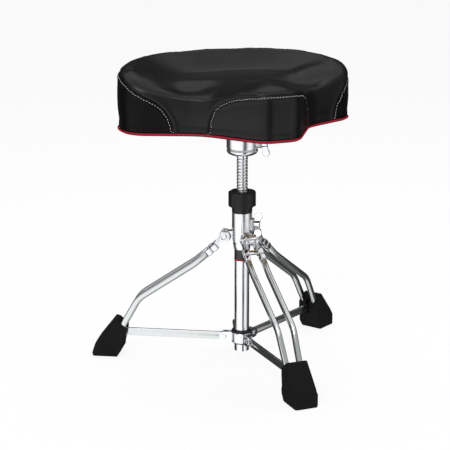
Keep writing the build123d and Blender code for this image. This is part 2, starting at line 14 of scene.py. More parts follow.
import bmesh
import bpy
import numpy as np
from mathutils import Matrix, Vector
from mathutils.kdtree import KDTree

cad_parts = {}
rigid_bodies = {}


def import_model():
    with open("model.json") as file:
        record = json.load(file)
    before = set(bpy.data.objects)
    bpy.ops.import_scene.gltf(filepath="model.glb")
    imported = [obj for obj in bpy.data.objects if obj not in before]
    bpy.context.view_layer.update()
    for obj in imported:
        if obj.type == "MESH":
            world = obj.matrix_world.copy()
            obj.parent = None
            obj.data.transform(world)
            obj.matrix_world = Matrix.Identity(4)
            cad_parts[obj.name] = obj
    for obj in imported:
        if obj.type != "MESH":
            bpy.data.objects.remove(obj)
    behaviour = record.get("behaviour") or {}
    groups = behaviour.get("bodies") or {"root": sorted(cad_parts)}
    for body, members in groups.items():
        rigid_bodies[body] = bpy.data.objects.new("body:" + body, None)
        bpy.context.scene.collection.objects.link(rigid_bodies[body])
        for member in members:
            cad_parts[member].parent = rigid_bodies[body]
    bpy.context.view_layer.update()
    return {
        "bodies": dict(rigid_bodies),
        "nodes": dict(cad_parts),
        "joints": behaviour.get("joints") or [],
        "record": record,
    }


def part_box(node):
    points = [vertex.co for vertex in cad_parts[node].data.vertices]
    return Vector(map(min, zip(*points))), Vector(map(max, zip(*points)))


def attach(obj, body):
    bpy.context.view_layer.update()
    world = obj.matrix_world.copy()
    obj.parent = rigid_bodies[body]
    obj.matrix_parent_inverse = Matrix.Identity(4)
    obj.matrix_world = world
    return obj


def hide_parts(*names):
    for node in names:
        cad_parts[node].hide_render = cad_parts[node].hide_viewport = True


MM = 0.001
WING_PANEL_SHADE = "wing_panel_shade"      # vertex attribute of the cushion: 1 on the wing panels, whose sheen is lowered as painted shade
LOG = logging.getLogger("throne")


# ---------------------------------------------------------------- small helpers


def linear(hex_colour: str) -> tuple[float, float, float, float]:
    """Turns an sRGB hex colour into linear values.

    Args:
        hex_colour: Six hex digits with a leading #.

    Returns:
        Linear red, green and blue, and an alpha of 1.
    """
    parts = [int(hex_colour[i:i + 2], 16) / 255 for i in (1, 3, 5)]
    turned = [c / 12.92 if c <= 0.04045 else ((c + 0.055) / 1.055) ** 2.4 for c in parts]
    return (turned[0], turned[1], turned[2], 1.0)


def add_node(tree: bpy.types.NodeTree, kind: str, links: dict | None = None,
             inputs: dict | None = None, **settings: object) -> bpy.types.Node:
    """Adds a node, its settings, its constant inputs and its incoming links.

    Args:
        tree: The node tree.
        kind: The node's type name.
        links: Input socket name or number to the output socket that feeds it.
        inputs: Input socket name or number to a constant.
        **settings: Attributes of the node.

    Returns:
        The new node.
    """
    node = tree.nodes.new(kind)
    for name, value in settings.items():
        setattr(node, name, value)
    for name, value in (inputs or {}).items():
        node.inputs[name].default_value = value
    for name, source in (links or {}).items():
        tree.links.new(source, node.inputs[name])
    return node


def mesh_piece(name: str, points: np.ndarray, faces: list, smooth: bool = True) -> bpy.types.Object:
    """Makes a mesh object from points in millimetres.

    Args:
        name: The piece's name.
        points: One row for each vertex.
        faces: Vertex numbers of each face.
        smooth: True for smooth shading.

    Returns:
        The linked object.
    """
    mesh = bpy.data.meshes.new(name)
    mesh.from_pydata((np.asarray(points, float) * MM).tolist(), [], faces)
    mesh.polygons.foreach_set("use_smooth", [smooth] * len(mesh.polygons))
    mesh.update()
    piece = bpy.data.objects.new(name, mesh)
    bpy.context.scene.collection.objects.link(piece)
    return piece


def coords(mesh: bpy.types.Mesh) -> np.ndarray:
    """Returns the mesh's vertex positions in metres."""
    flat = np.zeros(len(mesh.vertices) * 3)
    mesh.vertices.foreach_get("co", flat)
    return flat.reshape(-1, 3)


def normals(mesh: bpy.types.Mesh) -> np.ndarray:
    """Returns the mesh's vertex normals."""
    flat = np.zeros(len(mesh.vertices) * 3)
    mesh.vertex_normals.foreach_get("vector", flat)
    return flat.reshape(-1, 3)


def settle(piece: bpy.types.Object) -> None:
    """Turns a piece with modifiers into its plain evaluated mesh.

    Args:
        piece: The object whose modifiers are applied and removed.
    """
    graph = bpy.context.evaluated_depsgraph_get()
    plain = bpy.data.meshes.new_from_object(piece.evaluated_get(graph), depsgraph=graph)
    piece.modifiers.clear()
    piece.data = plain


def grid_faces(rings: int, columns: int) -> list[tuple[int, int, int, int]]:
    """Returns the quads of a grid that closes round its columns."""
    found = []
    for r in range(rings - 1):
        for c in range(columns):
            d = (c + 1) % columns
            found.append((r * columns + c, r * columns + d, (r + 1) * columns + d, (r + 1) * columns + c))
    return found


# ---------------------------------------------------------------- finishes


@dataclass(frozen=True)
class MetalFinish:
    """A plated or ground metal surface.

    The fine waviness is what buffing leaves under the plating.
    """

    name: str
    colour: str
    roughness: float
    waviness_mm: float = 9.0
    waviness: float = 0.015

    def paint(self, tree: bpy.types.NodeTree, shader: bpy.types.ShaderNode) -> None:
        """Sets up the metal's shader in its material's tree."""
        shader.inputs["Metallic"].default_value = 1.0
        place = add_node(tree, "ShaderNodeTexCoord")
        wear = add_node(tree, "ShaderNodeTexNoise", {"Vector": place.outputs["Object"]},
                        {"Scale": 1 / (self.waviness_mm * MM), "Detail": 3.0})
        rough = add_node(tree, "ShaderNodeMapRange", {"Value": wear.outputs["Fac"]},
                         {"From Min": 0.3, "From Max": 0.7, "To Min": self.roughness * 0.75,
                          "To Max": self.roughness * 1.3})
        tint = add_node(tree, "ShaderNodeMix", {"Factor": wear.outputs["Fac"]}, data_type="RGBA")
        tint.inputs["A"].default_value = linear(self.colour)
        tint.inputs["B"].default_value = tuple(c * 0.94 for c in linear(self.colour)[:3]) + (1.0,)
        bump = add_node(tree, "ShaderNodeBump", {"Height": wear.outputs["Fac"]},
                        {"Strength": self.waviness, "Distance": MM})
        tree.links.new(tint.outputs["Result"], shader.inputs["Base Color"])
        tree.links.new(rough.outputs["Result"], shader.inputs["Roughness"])
        tree.links.new(bump.outputs["Normal"], shader.inputs["Normal"])


@dataclass(frozen=True)
class MouldedFinish:
    """Moulded plastic or rubber with a spark-eroded or dull mould texture."""

    name: str
    colour: str
    roughness: float
    grain_mm: float = 0.7
    grain: float = 0.25
    specular: float = 0.5

    def paint(self, tree: bpy.types.NodeTree, shader: bpy.types.ShaderNode) -> None:
        """Sets up the moulding's shader in its material's tree."""
        shader.inputs["Specular IOR Level"].default_value = self.specular
        place = add_node(tree, "ShaderNodeTexCoord")
        fine = add_node(tree, "ShaderNodeTexNoise", {"Vector": place.outputs["Object"]},
                        {"Scale": 1 / (self.grain_mm * MM), "Detail": 2.0})
        broad = add_node(tree, "ShaderNodeTexNoise", {"Vector": place.outputs["Object"]},
                         {"Scale": 1 / (28 * MM), "Detail": 4.0})
        tint = add_node(tree, "ShaderNodeMix", {"Factor": broad.outputs["Fac"]}, data_type="RGBA")
        tint.inputs["A"].default_value = linear(self.colour)
        tint.inputs["B"].default_value = tuple(c * 1.35 + 0.001 for c in linear(self.colour)[:3]) + (1.0,)
        rough = add_node(tree, "ShaderNodeMapRange", {"Value": broad.outputs["Fac"]},
                         {"From Min": 0.3, "From Max": 0.7, "To Min": self.roughness - 0.05,
                          "To Max": self.roughness + 0.07})
        bump = add_node(tree, "ShaderNodeBump", {"Height": fine.outputs["Fac"]},
                        {"Strength": self.grain, "Distance": 0.2 * MM})
        tree.links.new(tint.outputs["Result"], shader.inputs["Base Color"])
        tree.links.new(rough.outputs["Result"], shader.inputs["Roughness"])
        tree.links.new(bump.outputs["Normal"], shader.inputs["Normal"])


@dataclass(frozen=True)
class VinylFinish:
    """Calendered PVC leathercloth: embossed pebbles over slow creases, half matt, with less sheen on the wing
    panels as painted shade.
    """

    name: str
    colour: str
    roughness: float
    pebble_mm: float = 1.5       # real pebbles are about 0.9 mm, drawn coarser to show
    crease_mm: float = 34.0
    specular: float = 0.24
    panel_shade_share: float = 0.35    # the wing panels keep this much of the sheen, as painted shade on their walls; their vinyl is the same

    def paint(self, tree: bpy.types.NodeTree, shader: bpy.types.ShaderNode) -> None:
        """Sets up the leathercloth's shader in its material's tree."""
        # painted shade: the sheen drops on the wing panels to darken their walls
        panel = add_node(tree, "ShaderNodeAttribute")
        panel.attribute_name = WING_PANEL_SHADE
        sheen = add_node(tree, "ShaderNodeMapRange", {"Value": panel.outputs["Fac"]},
                         {"To Min": self.specular, "To Max": self.specular * self.panel_shade_share})
        tree.links.new(sheen.outputs["Result"], shader.inputs["Specular IOR Level"])
        place = add_node(tree, "ShaderNodeTexCoord")
        pebbles = add_node(tree, "ShaderNodeTexVoronoi", {"Vector": place.outputs["Object"]},
                           {"Scale": 1 / (self.pebble_mm * MM)}, feature="SMOOTH_F1")
        creases = add_node(tree, "ShaderNodeTexNoise", {"Vector": place.outputs["Object"]},
                           {"Scale": 1 / (self.crease_mm * MM), "Detail": 6.0, "Distortion": 0.6})
        tint = add_node(tree, "ShaderNodeMix", {"Factor": creases.outputs["Fac"]}, data_type="RGBA")
        tint.inputs["A"].default_value = linear(self.colour)
        tint.inputs["B"].default_value = tuple(c * 1.4 + 0.0004 for c in linear(self.colour)[:3]) + (1.0,)
        rough = add_node(tree, "ShaderNodeMapRange", {"Value": creases.outputs["Fac"]},
                         {"From Min": 0.3, "From Max": 0.7, "To Min": self.roughness - 0.05,
                          "To Max": self.roughness + 0.06})
        slow = add_node(tree, "ShaderNodeBump", {"Height": creases.outputs["Fac"]},
                        {"Strength": 0.18, "Distance": 2.5 * MM})
        fine = add_node(tree, "ShaderNodeBump",
                        {"Height": pebbles.outputs["Distance"], "Normal": slow.outputs["Normal"]},
                        {"Strength": 0.22, "Distance": 0.3 * MM})
        tree.links.new(tint.outputs["Result"], shader.inputs["Base Color"])
        tree.links.new(rough.outputs["Result"], shader.inputs["Roughness"])
        tree.links.new(fine.outputs["Normal"], shader.inputs["Normal"])


@dataclass(frozen=True)
class PlyFinish:
    """Birch plywood: veneers a couple of millimetres thick, light and dark by turns."""

    name: str
    light: str
    dark: str
    veneer_mm: float = 3.0

    def paint(self, tree: bpy.types.NodeTree, shader: bpy.types.ShaderNode) -> None:
        """Sets up the plywood's shader in its material's tree."""
        shader.inputs["Roughness"].default_value = 0.62
        place = add_node(tree, "ShaderNodeTexCoord")
        stretch = add_node(tree, "ShaderNodeMapping", {"Vector": place.outputs["Object"]},
                           {"Scale": (0.12, 1.0, 1.0)})
        grain = add_node(tree, "ShaderNodeTexNoise", {"Vector": stretch.outputs["Vector"]},
                         {"Scale": 1 / (4 * MM), "Detail": 6.0, "Distortion": 1.2})
        veneer = add_node(tree, "ShaderNodeTexWave", {"Vector": place.outputs["Object"]},
                          {"Scale": 1 / (self.veneer_mm * MM) / 20, "Distortion": 0.4},
                          bands_direction="Z")
        both = add_node(tree, "ShaderNodeMath",
                        {0: grain.outputs["Fac"], 1: veneer.outputs["Fac"]}, operation="MULTIPLY")
        tint = add_node(tree, "ShaderNodeMix", {"Factor": both.outputs["Value"]}, data_type="RGBA")
        tint.inputs["A"].default_value = linear(self.light)
        tint.inputs["B"].default_value = linear(self.dark)
        tree.links.new(tint.outputs["Result"], shader.inputs["Base Color"])


class Finish(Enum):
    """Every finish on the throne, with the record's material slot it belongs to."""

    CHROME = (MetalFinish("polished_chrome_plate", "#DADCDF", 0.07), "chrome")
    CAST_CHROME = (MetalFinish("satin_chrome_on_die_casting", "#DEE0E2", 0.2, 5.0, 0.04), "chrome")
    BRACE_CHROME = (MetalFinish("chrome_plate_on_rolled_steel", "#C9CDCE", 0.16, 12.0, 0.02), "chrome")
    ZINC = (MetalFinish("bright_zinc_plate", "#AEB2B8", 0.33, 3.0, 0.08), "zinc_steel")
    VINYL = (VinylFinish("black_pvc_leathercloth", "#050607", 0.34), "vinyl")
    PIPING = (VinylFinish("red_pvc_piping", "#8E0A22", 0.45, 0.9, 12.0), "piping")
    THREAD = (MouldedFinish("bonded_polyester_thread", "#B9BBB8", 0.6, 0.4, 0.5), "vinyl")
    PLY = (PlyFinish("birch_plywood", "#C9A878", "#8F6A42"), "plywood")
    PLASTIC = (MouldedFinish("black_moulded_nylon", "#0C0D0F", 0.42, specular=0.3), "black_plastic")
    BAND = (MouldedFinish("gloss_black_film", "#101414", 0.18, 2.0, 0.03), "black_band")
    BUSH = (MouldedFinish("natural_acetal", "#E4E0D4", 0.38, 0.8, 0.1), "nylon")
    RUBBER = (MouldedFinish("black_moulded_rubber", "#0B0B0D", 0.74, 1.1, 0.5, 0.16), "rubber")

    def material(self) -> bpy.types.Material:
        """Returns the finish's material, made on its first use."""
        look = self.value[0]
        made = bpy.data.materials.get(look.name)
        if not made:
            made = bpy.data.materials.new(look.name)
            made.use_nodes = True
            look.paint(made.node_tree, made.node_tree.nodes["Principled BSDF"])
        return made

    def put_on(self, piece: bpy.types.Object) -> None:
        """Gives the piece this finish."""
        piece.data.materials.clear()
        piece.data.materials.append(self.material())


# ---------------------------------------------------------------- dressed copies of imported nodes


@dataclass
class DressedNode:
    """A smooth, soft-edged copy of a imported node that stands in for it."""

    node: str
    body: str
    finish: Finish
    edge_mm: float = 0.35
    sharp_deg: float = 34.0

    def build(self, frame: dict) -> bpy.types.Object:
        """Copies, merges and rounds the node's mesh.

        Args:
            frame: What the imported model's loader returned.

        Returns:
            The piece, riding on the node's body.
        """
        mesh = frame["nodes"][self.node].data.copy()
        work = bmesh.new()
        work.from_mesh(mesh)
        bmesh.ops.remove_doubles(work, verts=work.verts, dist=0.004 * MM)
        bmesh.ops.dissolve_limit(work, angle_limit=math.radians(0.4), verts=work.verts, edges=work.edges)
        work.to_mesh(mesh)
        work.free()
        piece = bpy.data.objects.new(f"{self.node}_dressed", mesh)
        bpy.context.scene.collection.objects.link(piece)
        if self.edge_mm:
            bevel = piece.modifiers.new("edges", "BEVEL")
            bevel.width = self.edge_mm * MM
            bevel.segments = 2
            bevel.limit_method = "ANGLE"
            bevel.angle_limit = math.radians(self.sharp_deg)
        settle(piece)
        piece.data.polygons.foreach_set("use_smooth", [True] * len(piece.data.polygons))
        piece.data.set_sharp_from_angle(angle=math.radians(self.sharp_deg))
        for layer in [a.name for a in piece.data.attributes if a.name == "custom_normal"]:
            piece.data.attributes.remove(piece.data.attributes[layer])
        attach(piece, self.body)
        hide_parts(self.node)
        self.finish.put_on(piece)
        LOG.info("%s: %d faces", piece.name, len(piece.data.polygons))
        return piece


# ---------------------------------------------------------------- geometry node trees


class NodeMaker:
    """A geometry node tree with named inputs, run on a host object and then made plain."""

    def __init__(self, name: str, sizes: dict[str, float], material: bpy.types.Material) -> None:
        """Opens the tree.

        Args:
            name: The tree's name.
            sizes: Input name to value, in metres or as a plain number.
            material: What the result is made of.
        """
        self.tree = bpy.data.node_groups.new(name, "GeometryNodeTree")
        self.tree.interface.new_socket("Geometry", in_out="INPUT", socket_type="NodeSocketGeometry")
        self.keys = {}
        for label, value in sizes.items():
            item = self.tree.interface.new_socket(label, in_out="INPUT", socket_type="NodeSocketFloat")
            self.keys[item.identifier] = value
        self.tree.interface.new_socket("Geometry", in_out="OUTPUT", socket_type="NodeSocketGeometry")
        self.given = add_node(self.tree, "NodeGroupInput").outputs
        self.material = material

    def close(self, result: bpy.types.NodeSocket) -> None:
        """Ends the tree in Realize Instances, Set Material and the output.

        Args:
            result: The geometry to give out.
        """
        real = add_node(self.tree, "GeometryNodeRealizeInstances", {"Geometry": result})
        coated = add_node(self.tree, "GeometryNodeSetMaterial", {"Geometry": real.outputs[0]},
                          {"Material": self.material})
        add_node(self.tree, "NodeGroupOutput", {0: coated.outputs[0]})

    def run(self, host: bpy.types.Object) -> bpy.types.Object:
        """Runs the tree on the host and leaves a plain mesh.

        Args:
            host: The object that carries the path or is only a holder.

        Returns:
            The same object with the finished mesh.
        """
        modifier = host.modifiers.new(self.tree.name, "NODES")
        modifier.node_group = self.tree
        for key, value in self.keys.items():
            modifier[key] = value
        settle(host)
        return host


def sewn_line(name: str, path: np.ndarray, closed: bool, length_mm: float, pitch_mm: float,
              thick_mm: float, finish: Finish) -> bpy.types.Object:
    """Lays stitches or staples along a path.

    Args:
        name: The piece's name.
        path: The line's points in metres.
        closed: True if the last point joins the first.
        length_mm: Length of one stitch.
        pitch_mm: Distance from one stitch to the next.
        thick_mm: Thickness of the thread or wire.
        finish: What it is made of.

    Returns:
        The stitches as one mesh.
    """
    mesh = bpy.data.meshes.new(name)
    count = len(path)
    edges = [(i, (i + 1) % count) for i in range(count if closed else count - 1)]
    mesh.from_pydata(path.tolist(), edges, [])
    host = bpy.data.objects.new(name, mesh)
    bpy.context.scene.collection.objects.link(host)
    maker = NodeMaker(name, {"Stitch": length_mm * MM, "Pitch": pitch_mm * MM, "Thread": thick_mm * MM},
                      finish.material())
    tree, given = maker.tree, maker.given
    line = add_node(tree, "GeometryNodeMeshToCurve", {"Mesh": given["Geometry"]})
    steps = add_node(tree, "GeometryNodeResampleCurve", {"Curve": line.outputs[0], "Length": given["Pitch"]},
                     mode="LENGTH")
    tangent = add_node(tree, "GeometryNodeInputTangent")
    turn = add_node(tree, "FunctionNodeAlignRotationToVector", {"Vector": tangent.outputs[0]}, axis="X")
    size = add_node(tree, "ShaderNodeCombineXYZ",
                    {"X": given["Stitch"], "Y": given["Thread"], "Z": given["Thread"]})
    bead = add_node(tree, "GeometryNodeMeshUVSphere", None, {"Segments": 8, "Rings": 6, "Radius": 0.5})
    laid = add_node(tree, "GeometryNodeInstanceOnPoints",
                    {"Points": steps.outputs[0], "Instance": bead.outputs[0],
                     "Rotation": turn.outputs[0], "Scale": size.outputs[0]})
    smooth = add_node(tree, "GeometryNodeSetShadeSmooth", {"Geometry": laid.outputs[0]})
    maker.close(smooth.outputs[0])
    return maker.run(host)


# ---------------------------------------------------------------- the saddle seat


@dataclass
class SaddleSeat:
    """The upholstered seat: cushion, topstitching, piping, hem and board.

    Angles run round the seat's centre from the nose to the rear, the same on both sides.
    """

    centre_y: float = 20.0        # the polar centre, ahead of the column's axis
    columns: int = 840
    dish_z: float = 549.0
    bank_share: float = 0.4       # part of the way in from the rim that the rear bank takes
    bank_start: float = 78.0      # degrees from the nose where the rear bank begins
    bank_span: float = 34.0       # and how many more it takes to reach its full height
    scoop_x: float = 118.0        # middle of each leg's scoop
    scoop_y: float = -4.0
    scoop_half_x: float = 74.0
    scoop_half_y: float = 54.0
    scoop_depth: float = 13.0
    pommel_half: float = 31.0     # half width of the ridge between the legs
    pommel_y: float = -70.0       # where the ridge fades out towards the rear
    pommel_fade: float = 11.0
    pommel_height: float = 9.0
    rim_crest: float = 1.6        # the cover's swell just inside the rear rim
    shrink: float = 1.6           # the form starts this much small and the padding fills it
    swell_cap: float = 3.2
    dish_rings: int = 38          # rings over the inner part of the top, spaced further apart
    top_rings: int = 74           # rings from the middle to the rim; the shoulder and wall follow
    board_rings: int = 7          # the last rings, from the hem to the board's middle
    wall_bulge: float = 2.2
    tuck: float = 2.4
    seam_groove: float = 3.0
    seam_half: float = 2.3
    stitch_inset: float = 3.4
    stitch_length: float = 4.2
    stitch_pitch: float = 5.8
    thread: float = 0.95
    piping_r: float = 1.9

    # right half of the plan: x, y from the column's axis and the corner's radius
    corners = ((36.0, -180.0, 40.0), (110.0, -66.0, 90.0), (233.0, -8.0, 54.0),
               (233.0, 66.0, 110.0), (140.0, 192.0, 190.0))
    # angle from the nose and the rim's height there
    rim = ((0, 553.5), (11, 553), (23, 547), (35, 537), (46, 531), (60, 532), (70, 536.5), (79, 548),
           (86, 562), (94, 573), (106, 580), (119, 584.5), (140, 587), (180, 588))
    # angle from the nose and the rim's edge radius
    edge = ((0, 13), (24, 11), (40, 8), (70, 8), (84, 12), (100, 15), (180, 17))
    nose_seam = ((46, 468), (45, 491), (41.5, 513), (36, 527), (27, 537), (19, 542.5), (9, 547), (0, 548))
    wing_seam = ((68, 468), (69.4, 490), (72, 509), (75.5, 524), (80, 535), (84.5, 545),
                 (88.5, 554), (94, 562.5), (106, 570), (119, 575), (140, 578), (180, 579))
    right_shift = 5.5             # the right wing's seam starts this many degrees further back
    shift_fade = 22.0             # and joins the left one's line this many degrees on

    def __post_init__(self) -> None:
        """Reads the seat's place from the frame and works out its plan."""
        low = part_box("seat_cushion")[0]
        rod_low, rod_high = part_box("threaded_rod")
        self.axis_y = (rod_low.y + rod_high.y) / 2 / MM
        self.floor_z = low.z / MM
        self.board_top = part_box("seat_board")[1].z / MM
        self.plan = self.outline(self.columns)
        spokes = self.plan - np.array([0.0, self.centre_y])
        self.angle = np.degrees(np.arctan2(np.abs(spokes[:, 0]), -spokes[:, 1]))
        self.reach = np.hypot(spokes[:, 0], spokes[:, 1])
        self.spoke = spokes / self.reach[:, None]
        ahead = np.roll(self.plan, -1, axis=0) - np.roll(self.plan, 1, axis=0)
        ahead /= np.hypot(ahead[:, 0], ahead[:, 1])[:, None]
        self.out = np.stack([ahead[:, 1], -ahead[:, 0]], axis=1)

    @staticmethod
    def soft_keys(keys: tuple, at: np.ndarray) -> np.ndarray:
        """Reads a table of keys smoothly.

        Args:
            keys: Pairs of angle and value.
            at: The angles to read.

        Returns:
            The values, with the corners between the keys rounded off.
        """
        fine = np.arange(-30.0, 211.0, 0.5)
        table = np.interp(np.where(fine < 0, -fine, np.where(fine > 180, 360 - fine, fine)),
                          [k[0] for k in keys], [k[1] for k in keys])
        window = np.hanning(21)
        smooth = np.convolve(np.pad(table, 10, mode="edge"), window / window.sum(), mode="valid")
        return np.interp(at, fine, smooth)

    def outline(self, count: int) -> np.ndarray:
        """Works out the plan's outline with rounded corners.

        Args:
            count: How many evenly spaced points to give.

        Returns:
            Points from the nose's middle, anticlockwise seen from above.
        """
        ring = list(self.corners) + [(-x, y, r) for x, y, r in reversed(self.corners)]
        points = []
        for i, (x, y, radius) in enumerate(ring):
            here = np.array([x, y])
            back = np.array(ring[i - 1][:2]) - here
            forth = np.array(ring[(i + 1) % len(ring)][:2]) - here
            back, forth = back / np.linalg.norm(back), forth / np.linalg.norm(forth)
            half = math.acos(float(np.clip(back @ forth, -1, 1))) / 2
            middle = (back + forth) / np.linalg.norm(back + forth)
            hub = here + middle * radius / math.sin(half)
            start = here + back * radius / math.tan(half) - hub
            end = here + forth * radius / math.tan(half) - hub
            for share in np.linspace(0, 1, 40):
                turn = start * math.sin((1 - share) * (math.pi / 2 - half) * 2)
                turn = turn + end * math.sin(share * (math.pi / 2 - half) * 2)
                points.append(hub + turn / math.sin((math.pi / 2 - half) * 2))
        loop = np.array(points)
        nose_y = self.corners[0][1]
        first = int(np.argmin(np.hypot(loop[:, 0], loop[:, 1] - nose_y)))
        loop = np.roll(loop, -first, axis=0)
        loop = np.vstack([loop, loop[:1]])
        along = np.concatenate([[0], np.cumsum(np.hypot(*np.diff(loop, axis=0).T))])
        wanted = np.linspace(0, along[-1], count, endpoint=False)
        return np.stack([np.interp(wanted, along, loop[:, 0]), np.interp(wanted, along, loop[:, 1])], axis=1)

    def top_height(self, x: np.ndarray, y: np.ndarray, share: np.ndarray, rim: np.ndarray,
                   angle: np.ndarray) -> np.ndarray:
        """Height of the seat's top.

        Args:
            x: Across, from the middle.
            y: Along, from the column's axis.
            share: Distance from the centre as a share of the reach.
            rim: The rim's height at this angle.
            angle: Degrees from the nose.

        Returns:
            Heights above the floor.
        """
        rear = np.clip((angle - self.bank_start) / self.bank_span, 0, 1)
        rear = rear * rear * (3 - 2 * rear)
        bank = np.clip((share - (1 - self.bank_share)) / self.bank_share, 0, 1)
        bank = 0.55 * bank + 0.45 * bank * bank * (3 - 2 * bank)
        fall = share ** 1.6
        height = self.dish_z + (rim - self.dish_z) * (rear * bank + (1 - rear) * fall)
        apart = np.hypot((np.abs(x) - self.scoop_x) / self.scoop_half_x,
                         (y - self.scoop_y) / self.scoop_half_y)
        scoop = np.clip(1 - apart, 0, 1)
        scoop = scoop * scoop * (3 - 2 * scoop)
        height -= self.scoop_depth * scoop * (1 - np.clip((share - 0.84) / 0.16, 0, 1) * 0.7)
        ridge = np.exp(-((x / self.pommel_half) ** 2))
        ridge = ridge * (1 / (1 + np.exp((y - self.pommel_y) / self.pommel_fade)))
        height += self.pommel_height * ridge * (1 - np.clip((share - 0.8) / 0.2, 0, 1) * 0.9)
        crest = np.exp(-((share - 0.955) / 0.05) ** 2)
        height += self.rim_crest * crest * rear
        return height

    def shell(self) -> np.ndarray:
        """Works out the padded form, ring by ring from the top's middle to the board's recess.

        Returns:
            Positions of shape rings, columns, 3, in millimetres about the column's axis.
        """
        rim = self.soft_keys(self.rim, self.angle)
        edge = self.soft_keys(self.edge, self.angle)
        plan = self.plan - self.out * self.shrink
        reach = np.hypot(*(plan - np.array([0.0, self.centre_y])).T)
        rings = []
        inset_share = 1 - edge / reach
        shares = np.concatenate([np.linspace(0.004, 0.7, self.dish_rings, endpoint=False),
                                 np.linspace(0.7, 1, self.top_rings - self.dish_rings)])
        for s in shares:
            share = s * inset_share
            x = self.spoke[:, 0] * reach * share
            y = self.centre_y + self.spoke[:, 1] * reach * share
            z = self.top_height(x, y, np.full_like(x, s), rim, self.angle)
            rings.append(np.stack([x, y, z], axis=1))
        shoulder = rings[-1].copy()
        for turn in np.radians(np.linspace(10, 90, 9)):
            flat = plan - self.spoke * (edge * (1 - math.sin(turn)))[:, None]
            rings.append(np.column_stack([flat, shoulder[:, 2] - edge * (1 - math.cos(turn))]))
        wall_top = rings[-1][:, 2]
        foot = self.floor_z + 7.0
        for step in np.linspace(0, 1, 64)[1:]:
            z = wall_top + (foot - wall_top) * step
            swell = self.wall_bulge * math.sin(math.pi * step) - self.tuck * 0.25 * step ** 4
            rings.append(np.column_stack([plan + self.out * swell, z]))
        low = rings[-1][:, :2]
        for turn in np.radians(np.linspace(22, 90, 4)):
            flat = low - self.out * (self.tuck * (1 - math.cos(turn)))
            rings.append(np.column_stack([flat, np.full(self.columns, foot - 6.4 * math.sin(turn))]))
        base = rings[-1][:, :2]
        for inset, z in ((0.5, self.floor_z + 0.5), (1.0, self.floor_z + 0.6), (1.4, self.board_top + 0.4)):
            rings.append(np.column_stack([base - self.out * inset, np.full(self.columns, z)]))
        for share in (0.8, 0.5, 0.2, 0.004):
            inner = np.array([0.0, self.centre_y]) + (base - np.array([0.0, self.centre_y])) * share
            rings.append(np.column_stack([inner, np.full(self.columns, self.board_top + 0.4)]))
        return np.array(rings)

    def padded(self, form: np.ndarray) -> np.ndarray:
        """Lets the padding push the cover out by a cloth simulation.

        Args:
            form: The rings of the shell, in millimetres.

        Returns:
            The same rings after the padding has filled the cover.
        """
        work = mesh_piece("cover_work", form.reshape(-1, 3), grid_faces(*form.shape[:2]))
        shape = bmesh.new()
        shape.from_mesh(work.data)
        for ring in (0, form.shape[0] - 1):
            hole = [shape.verts[:][ring * self.columns + c] for c in range(self.columns)]
            shape.faces.new(hole if ring else hole[::-1])
        bmesh.ops.recalc_face_normals(shape, faces=shape.faces)
        shape.to_mesh(work.data)
        shape.free()
        remesh = work.modifiers.new("voxels", "REMESH")
        remesh.mode = "VOXEL"
        remesh.voxel_size = 6 * MM
        settle(work)
        rest = coords(work.data)
        cloth = work.modifiers.new("padding", "CLOTH")
        cloth.settings.quality = 5
        cloth.settings.use_pressure = True
        cloth.settings.uniform_pressure_force = 4.0
        cloth.settings.effector_weights.gravity = 0.0
        scene = bpy.context.scene
        for step in range(1, 21):
            scene.frame_set(step)
        graph = bpy.context.evaluated_depsgraph_get()
        moved = coords(work.evaluated_get(graph).data) - rest
        scene.frame_set(1)
        length = np.maximum(np.linalg.norm(moved, axis=1), 1e-9)
        moved *= np.minimum(1, self.swell_cap * MM / length)[:, None]
        tree = KDTree(len(rest))
        for i, point in enumerate(rest):
            tree.insert(point, i)
        tree.balance()
        result = form.copy()
        still = form.shape[0] - self.board_rings
        for r in range(still):
            fade = min(1.0, (still - 1 - r) / 12)
            for c in range(0, self.columns, 4):
                near = tree.find_n(Vector(form[r, c] * MM), 14)
                push = np.mean([moved[i] for _, i, _ in near], axis=0) / MM * fade
                result[r, c] = form[r, c] + push
            known = np.arange(0, self.columns + 1, 4)
            for axis in range(3):
                shift = result[r, known % self.columns, axis] - form[r, known % self.columns, axis]
                result[r, :, axis] = form[r, :, axis] + np.interp(np.arange(self.columns), known, shift)
        bpy.data.objects.remove(work)
        return result

    def seam_line(self, rings: np.ndarray, keys: tuple, side: int) -> np.ndarray:
        """Finds a seam's line on the shell.

        Args:
            rings: The shell's rings, in millimetres.
            keys: Pairs of angle and height, from the bottom edge upwards.
            side: 1 for the +X half and -1 for the other.

        Returns:
            Points along the seam, in millimetres.
        """
        share = np.linspace(0, 1, 160)
        steps = np.linspace(0, 1, len(keys))
        turn = np.interp(share, steps, [k[0] for k in keys])
        high = np.interp(share, steps, [k[1] for k in keys])
        window = np.hanning(23)
        window /= window.sum()
        turn = np.convolve(np.pad(turn, 11, mode="reflect", reflect_type="odd"), window, mode="valid")
        high = np.convolve(np.pad(high, 11, mode="reflect", reflect_type="odd"), window, mode="valid")
        signed = np.where(self.plan[:, 0] * side >= 0, self.angle, 999)
        first, last = self.top_rings, rings.shape[0] - self.board_rings - 1
        points = []
        for angle, z in zip(turn, high):
            column = int(np.argmin(np.abs(signed - angle)))
            wall = rings[first - 6:last, column]
            row = int(np.argmin(np.abs(wall[:, 2] - z) + np.where(np.arange(len(wall)) < 4, 3.0, 0.0)))
            points.append(wall[row])
        line = np.array(points)
        for _ in range(6):
            line[1:-1] = (line[:-2] + 2 * line[1:-1] + line[2:]) / 4
        return line

    def right_wing_seam(self) -> tuple:
        """Returns the wing seam's keys for the right half, where it starts further back."""
        start = self.wing_seam[0][0]
        return tuple((a + self.right_shift * max(0.0, 1 - (a - start) / self.shift_fade), z)
                     for a, z in self.wing_seam)

